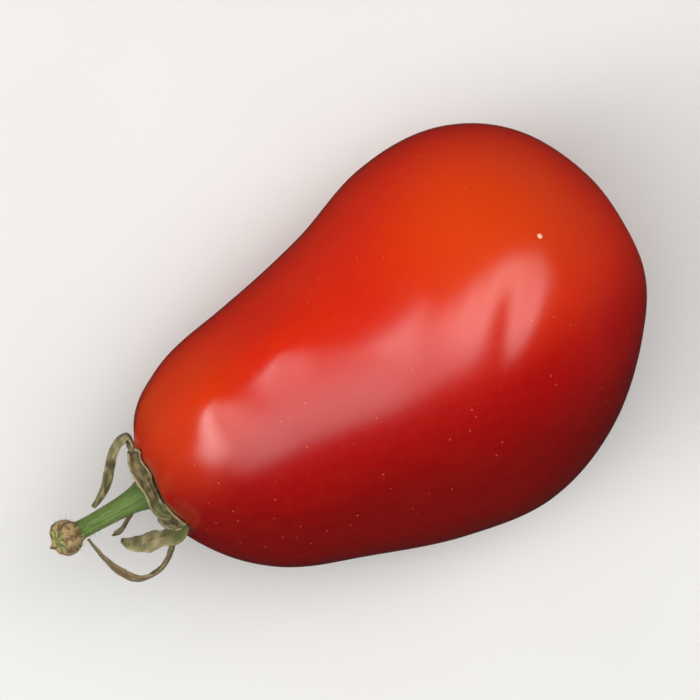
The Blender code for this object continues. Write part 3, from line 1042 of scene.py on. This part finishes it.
@dataclass
class Pedicel:
    """The stub of stalk: a flared foot, a bend, and the swollen knuckle with the spur where it broke."""

    # From the seat, in mm
    route: tuple[Point, ...] = (
        (-0.3, 0, 0), (-5.0, 0, 0.1), (-10.0, 0, 0.7), (-15.0, 0, 2.1), (-20.0, 0.1, 4.5),
    )
    # (distance along the route, radius) in mm
    girth: tuple[Station, ...] = (
        (0, 1.9), (0.25, 2.2), (1.6, 2.2), (1.8, 2.7), (2.4, 2.85), (3.3, 2.55), (4.8, 2.1), (7.0, 1.8),
        (10.0, 1.64), (12.6, 1.56), (15.0, 1.6), (15.9, 1.95), (16.5, 2.5), (17.3, 2.8), (18.3, 2.85),
        (19.1, 2.7), (19.6, 2.3), (19.4, 1.5), (19.6, 0.8),
    )
    foot_inside: float = 1.6
    knuckle_start: float = 15.9
    knuckle_rise: float = 0.8
    # (how many round the stalk, height as a share of the radius)
    knuckle_ridges: tuple[int, float] = (6, 0.05)
    ribs: tuple[int, float] = (5, 0.03)
    fine_ribs: tuple[int, float] = (17, 0.012)
    ragged_rim: float = 0.16 * MM
    core_creases: float = 0.22 * MM
    spur_length: float = 1.1 * MM
    spur_deg: float = 265
    segments: int = 72
    steps: int = 8
    finer: int = 5

    def radius(self, distance: float, radius: float, around: float) -> float:
        """Radius of the stalk with its faint ribs, and the knuckle's ridges, in metres."""
        if distance <= self.foot_inside:
            return radius * MM
        ridged = min(1, max(0, (distance - self.knuckle_start) / self.knuckle_rise))
        ribs = self.ribs[1] * math.cos(self.ribs[0] * around) * (1 - ridged)
        ridges = self.knuckle_ridges[1] * math.cos(self.knuckle_ridges[0] * around) * ridged
        fine = self.fine_ribs[1] * math.cos(self.fine_ribs[0] * around + 1.3) * (1 + ridged)
        return radius * MM * (1 + ribs + ridges + fine)

    def make(self, seat: Vector, finish: Material) -> Object:
        """Shapes the stalk from a sphere whose rows follow the route.

        Args:
            seat: The bottom of the stem dimple.
            finish: The stalk's material.

        Returns:
            The piece.
        """
        path = smooth_path([seat + Vector(point) * MM for point in self.route], self.steps)
        frames = frames_along(path, Vector((0, 0, 1)))
        rows = smooth_path([Vector((distance, radius, 0)) for distance, radius in self.girth], self.finer)
        bm = bmesh.new()
        bmesh.ops.create_uvsphere(bm, u_segments=self.segments, v_segments=len(rows) + 1, radius=1)
        settle(bm)
        layers = layers_on(bm, "along", "around", "inset")
        for vert in bm.verts:
            row = round(math.acos(max(-1, min(1, vert.co.z))) / math.pi * (len(rows) + 1)) - 1
            pole = row < 0 or row == len(rows)
            row = max(0, min(len(rows) - 1, row))
            distance, plain = rows[row].x, rows[row].y
            around = math.atan2(vert.co.y, vert.co.x)
            radius = 0 if pole else self.radius(distance, plain, around)
            centre, (along, across, facing) = self.place(path, frames, distance * MM)
            late = row - (len(rows) - 1 - 2 * self.finer)
            inset = min(1, max(0, late / self.finer))
            for layer, value in zip(layers, (distance, around, inset)):
                vert[layer] = value
            at = centre + (across * math.cos(around) + facing * math.sin(around)) * radius
            at += along * self.broken(around, inset, row, len(rows), pole)
            vert.co = at
        bmesh.ops.recalc_face_normals(bm, faces=bm.faces)
        return dress(piece_from("stalk", bm, finish), "pedicel")

    def place(self, path: Sequence[Vector], frames: Sequence[Axes], walked: float) -> tuple[Vector, Axes]:
        """Finds the middle of the stalk and its frame at a distance along the route."""
        for i, (a, b) in enumerate(zip(path, path[1:])):
            step = (b - a).length
            if walked <= step or i == len(path) - 2:
                share = walked / step
                pairs = zip(frames[i], frames[i + 1])
                along, across, facing = (p.lerp(q, min(1, share)).normalized() for p, q in pairs)
                return a.lerp(b, share), (along, across, facing)
            walked -= step
        raise ValueError("the route has no length")

    def broken(self, around: float, inset: float, row: int, rows: int, pole: bool) -> float:
        """How far the broken end stands out, in metres: its ragged rim, radial creases and the spur."""
        if row < rows - 5 * self.finer:
            return 0.0
        rim = min(1, (row - (rows - 5 * self.finer)) / (2 * self.finer))
        ragged = self.ragged_rim * math.sin(5 * around + 0.7) * math.sin(2 * around) * rim * (1 - inset)
        creases = -self.core_creases * abs(math.sin(3.5 * around)) * math.sin(math.pi * inset)
        turn = (around - math.radians(self.spur_deg) + math.pi) % (2 * math.pi) - math.pi
        reach = bump(row - (rows - 3 * self.finer), self.finer * 0.9)
        spur = 0 if pole else self.spur_length * bump(turn, 0.2) * reach
        return ragged + creases + spur


@dataclass
class Hairs:
    """Fine stiff hairs that stand on the stalk and along the sepals."""

    # A real hair is thinner than this, and would be too fine to show
    root: float = 0.034 * MM
    sunk: float = 0.05 * MM
    lean: float = 0.35
    # The least and most that a hair bends sideways, as a share of its length
    bends: Pair = (0.05, 0.3)
    sides: int = 4
    seed: int = 11
    # How many hairs: short and long ones on the stalk, and short ones on each sepal
    counts: tuple[int, int, int] = (420, 40, 170)
    # How far from the seat the stalk's short hairs begin, and where the long ones stand
    foot: float = 3 * MM
    long_span: Pair = (12 * MM, 19 * MM)

    def pattern(self) -> bpy.types.Mesh:
        """One hair a metre long on +Z, bent a little towards +X."""
        bm = bmesh.new()
        bmesh.ops.create_cone(
            bm,
            cap_ends=True,
            segments=self.sides,
            radius1=1.0,
            radius2=0.12,
            depth=1.0,
            matrix=Matrix.Translation((0, 0, 0.5)),
        )
        uprights = [edge for edge in bm.edges if abs(edge.verts[0].co.z - edge.verts[1].co.z) > 0.5]
        bmesh.ops.subdivide_edges(bm, edges=uprights, cuts=2)
        mesh = bpy.data.meshes.new("hair_pattern")
        bm.to_mesh(mesh)
        bm.free()
        return mesh

    def plant(
        self,
        name: str,
        roots: Sequence[Root],
        lengths: Pair,
        finish: Material,
        node: str,
    ) -> Object:
        """Plants a hair at each root.

        Args:
            name: The piece's name.
            roots: (point, direction) of each hair.
            lengths: Shortest and longest hair in metres.
            finish: The hairs' material.
            node: The CAD node that they stand with.

        Returns:
            The piece.
        """
        dice = random.Random(self.seed + len(roots))
        pattern = self.pattern()
        bm = bmesh.new()
        for point, direction in roots:
            length = dice.uniform(*lengths)
            lean = Vector((dice.uniform(-1, 1), dice.uniform(-1, 1), dice.uniform(-1, 1)))
            heading = (direction + lean * self.lean).normalized()
            planted = len(bm.verts)
            bm.from_mesh(pattern)
            bm.verts.ensure_lookup_table()
            verts = bm.verts[planted:]
            self.bend(verts, dice.uniform(*self.bends))
            sizes = Matrix.Diagonal((self.root, self.root, length, 1))
            turn = heading.to_track_quat("Z", "X").to_matrix().to_4x4()
            there = Matrix.Translation(point - heading * self.sunk)
            bmesh.ops.transform(bm, matrix=there @ turn @ sizes, verts=verts)
        bpy.data.meshes.remove(pattern)
        bmesh.ops.recalc_face_normals(bm, faces=bm.faces)
        return dress(piece_from(name, bm, finish), node)

    def bend(self, verts: Sequence[BMVert], amount: float) -> None:
        """Bends a hair sideways. Its X still counts in root radii here, and 12 pass for its length."""
        for vert in verts:
            vert.co.x += amount * 12 * vert.co.z**2

    def make(self, seat: Vector, stalk: Object, sepals: Sequence[Object], finish: Material) -> list[Object]:
        """Plants the short and the long hairs of the stalk, and the down of the sepals.

        Args:
            seat: The bottom of the stem dimple.
            stalk: The stalk's piece.
            sepals: The sepals' pieces.
            finish: The hairs' material.

        Returns:
            The pieces.
        """
        short_count, long_count, sepal_count = self.counts
        near, far = (seat.x - distance for distance in self.long_span)
        short = roots_on(stalk, short_count, 5, lambda at: at.x < seat.x - self.foot)
        long = roots_on(stalk, long_count, 6, lambda at: far < at.x < near)
        down = []
        for n, sepal in enumerate(sepals):
            down += roots_on(sepal, sepal_count, 20 + n, lambda at: True)
        return [
            self.plant("stalk_down", short, (0.25 * MM, 0.6 * MM), finish, "pedicel"),
            self.plant("stalk_long_hairs", long, (0.8 * MM, 1.9 * MM), finish, "pedicel"),
            self.plant("sepal_down", down, (0.15 * MM, 0.4 * MM), finish, "calyx"),
        ]


def roots_on(piece: Object, count: int, seed: int, wanted: Callable[[Vector], bool]) -> list[Root]:
    """Picks places for hairs on a piece.

    Args:
        piece: The piece, whose modifiers count.
        count: How many places.
        seed: Seed of the choice.
        wanted: Whether a hair may stand at a point.

    Returns:
        (point, outward direction) of each place.
    """
    dice = random.Random(seed)
    evaluated = piece.evaluated_get(bpy.context.evaluated_depsgraph_get())
    mesh = evaluated.to_mesh()
    faces = [face for face in mesh.polygons if wanted(face.center)]
    areas = [face.area for face in faces]
    chosen = dice.choices(faces, weights=areas, k=count)
    roots = []
    for face in chosen:
        corners = [mesh.vertices[i].co for i in face.vertices]
        weights = [dice.random() for _ in corners]
        total = sum(weights)
        point = sum((corner * (weight / total) for corner, weight in zip(corners, weights)), Vector())
        roots.append((point, face.normal.copy()))
    evaluated.to_mesh_clear()
    return roots


@dataclass(frozen=True)
class Panel:
    """A lit panel of the softbox, in layers that shrink from an outer to an inner size, for soft edges."""

    name: str
    radiance: float
    start: Pair
    end: Pair
    width: Pair
    offset: float = 0.0


@dataclass
class Studio:
    """The pale floor, the soft overhead light, the fill and the camera."""

    floor_reach: float = 3.0
    heading_deg: float = 30
    tilt_deg: float = 5.5
    distance: float = 0.8
    view_width: float = 115.4 * MM
    sensor: float = 36
    hub_offset: float = -2.6 * MM
    middle: Pair = (33.3 * MM, 23.6 * MM)
    box_height: float = 0.9
    box_lean_deg: float = -6
    # The height above the ground that the box leans about
    pivot: float = 0.03
    panels: tuple[Panel, ...] = (
        Panel("long", 3.5, (-1.2, -0.2), (2.3, 0.5), (0.72, 0.26)),
        Panel("end", 6.6, (-3.0, -1.4), (-0.4, -1.05), (0.66, 0.24), 0.22),
    )
    panel_layers: int = 6
    layer_gap: float = 0.002
    fill: float = 0.33
    fill_in_gloss: float = 0.06

    def floor(self, finish: Material) -> Object:
        """Lays the floor, which the skin doesn't mirror, as in a shaded tent."""
        bm = bmesh.new()
        bmesh.ops.create_grid(bm, x_segments=8, y_segments=8, size=self.floor_reach)
        made = piece_from("floor", bm, finish)
        made.visible_glossy = False
        return made

    def axes(self) -> tuple[Vector, Vector]:
        """The picture's right and up, flat on the floor."""
        turn = math.radians(self.heading_deg)
        return Vector((math.cos(turn), -math.sin(turn), 0)), Vector((math.sin(turn), math.cos(turn), 0))

    def camera(self, seat: Vector) -> Object:
        """Sets the camera over the fruit.

        Args:
            seat: The bottom of the stem dimple.

        Returns:
            The camera.
        """
        right, up = self.axes()
        hub = seat + Vector((self.hub_offset, 0, 0))
        centre = hub + right * self.middle[0] + up * self.middle[1]
        tilt = math.radians(self.tilt_deg)
        back = Vector((0, 0, 1)) * math.cos(tilt) - up * math.sin(tilt)
        top = up * math.cos(tilt) + Vector((0, 0, 1)) * math.sin(tilt)
        data = bpy.data.cameras.new("camera")
        data.sensor_width = self.sensor
        data.lens = self.sensor * self.distance / self.view_width
        data.clip_start = 0.01
        made = bpy.data.objects.new("camera", data)
        bpy.context.scene.collection.objects.link(made)
        columns = Matrix((right, top, back)).transposed()
        made.matrix_world = Matrix.Translation(centre + back * self.distance) @ columns.to_4x4()
        bpy.context.scene.camera = made
        return made

    def softbox(self) -> None:
        """Hangs the panels of the softbox, layer over layer."""
        _, up = self.axes()
        lean = math.radians(self.box_lean_deg)
        direction = Vector((0, 0, 1)) * math.cos(lean) + up * math.sin(lean)
        across = direction.cross(Vector((1, 0, 0))).normalized()
        length = across.cross(direction)
        columns = Matrix((length, across, direction)).transposed()
        for panel in self.panels:
            for n in range(self.panel_layers):
                inner = n / (self.panel_layers - 1)
                sizes = (panel.start, panel.end, panel.width)
                start, end, width = (outer + (least - outer) * inner for outer, least in sizes)
                data = bpy.data.lights.new(f"softbox_{panel.name}_{n}", "AREA")
                data.shape = "RECTANGLE"
                data.size = end - start
                data.size_y = width
                data.energy = math.pi * (end - start) * width * panel.radiance / self.panel_layers
                box = bpy.data.objects.new(data.name, data)
                bpy.context.scene.collection.objects.link(box)
                at = Vector((0, 0, self.pivot)) + direction * (self.box_height + self.layer_gap * n)
                at += length * (start + end) / 2 + across * panel.offset
                box.matrix_world = Matrix.Translation(at) @ columns.to_4x4()

    def sky(self) -> None:
        """Sets the even fill, dimmed where the skin mirrors it, and the plain view of colours."""
        world = bpy.data.worlds.new("studio")
        world.use_nodes = True
        sky = world.node_tree.nodes["Background"]
        sky.inputs["Color"].default_value = (1, 1, 1, 1)
        glossy = add_node(world.node_tree, "LightPath").outputs["Is Glossy Ray"]
        strength = {0: glossy, 1: self.fill * (self.fill_in_gloss - 1), 2: self.fill}
        dimmed = add_node(world.node_tree, "Math", strength, operation="MULTIPLY_ADD")
        world.node_tree.links.new(dimmed.outputs[0], sky.inputs["Strength"])
        bpy.context.scene.world = world
        bpy.context.scene.view_settings.view_transform = "Standard"

    def make(self, seat: Vector) -> None:
        """Sets the whole studio round the fruit."""
        self.floor(PaleBoard().make())
        self.softbox()
        self.sky()
        self.camera(seat)


def report(piece: Object) -> None:
    """Logs a piece's name and its count of faces."""
    LOG.info("%s: %d faces", piece.name, len(piece.data.polygons))


def skin_of(piece: Object) -> BVHTree:
    """Search tree of a piece's surface."""
    mesh = piece.data
    places = [vert.co for vert in mesh.vertices]
    return BVHTree.FromPolygons(places, [face.vertices[:] for face in mesh.polygons])


def main() -> None:
    """Builds the tomato piece by piece, then the studio."""
    logging.basicConfig(level=logging.INFO, format="%(message)s")
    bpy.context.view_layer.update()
    berry = Fruit()
    seat = berry.skin_point(0, 0)
    tip = berry.skin_point(math.pi, 0)
    fruit = berry.make(RipeSkin().make(seat, tip))
    calyx = Calyx().make(seat, skin_of(fruit), DriedSepal())
    stalk = Pedicel().make(seat, GreenStalk().make())
    coats = Hairs().make(seat, stalk, calyx[1:], PlantHair().make())
    for piece in [fruit, *calyx, stalk, *coats]:
        report(piece)
    Studio().make(seat)


if __name__ == "__main__":
    main()
